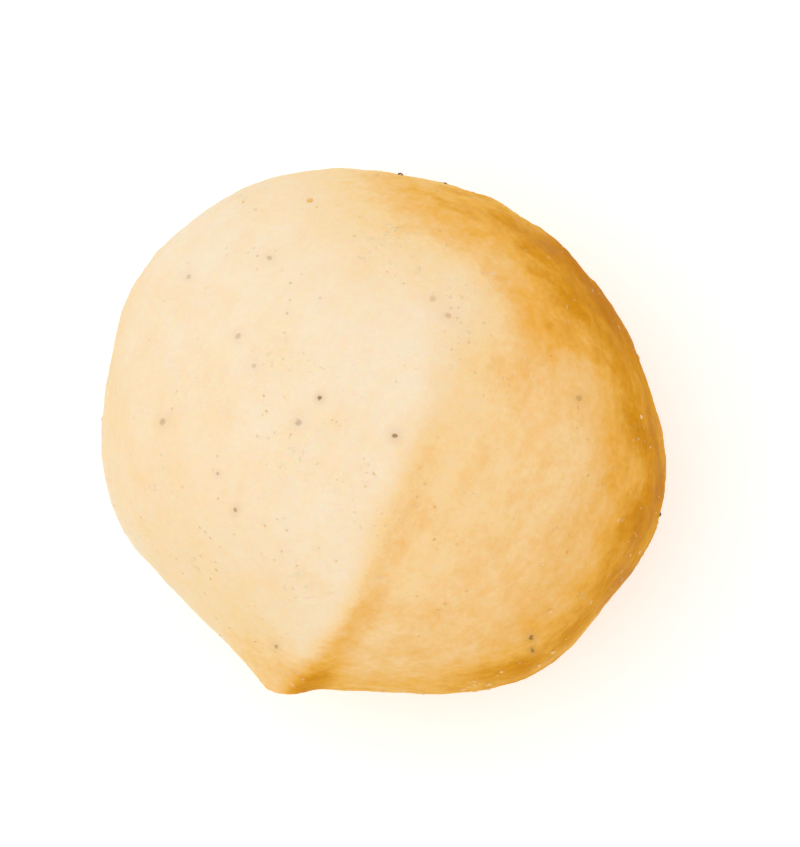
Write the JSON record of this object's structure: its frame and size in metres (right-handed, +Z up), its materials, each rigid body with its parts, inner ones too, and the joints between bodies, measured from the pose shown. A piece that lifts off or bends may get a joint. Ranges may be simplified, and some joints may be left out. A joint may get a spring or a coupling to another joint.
{
  "type": "shelled macadamia kernel",
  "caption": "Whole roasted macadamia kernel without its shell, round with a blunt tip and a seam, lying on its side.",
  "frame": {"origin": "on the resting surface, under the middle of the kernel's box", "axes": "+Z up; -Y towards the pointed tip and +Y towards the round base end; +X across the two halves, on the side of the more golden half"},
  "size_m": [0.0188, 0.0176, 0.0168],
  "materials": {
    "kernel_flesh": "satin"
  },
  "bodies": {
    "root": {"kernel": "kernel_flesh"}
  },
  "joints": []
}
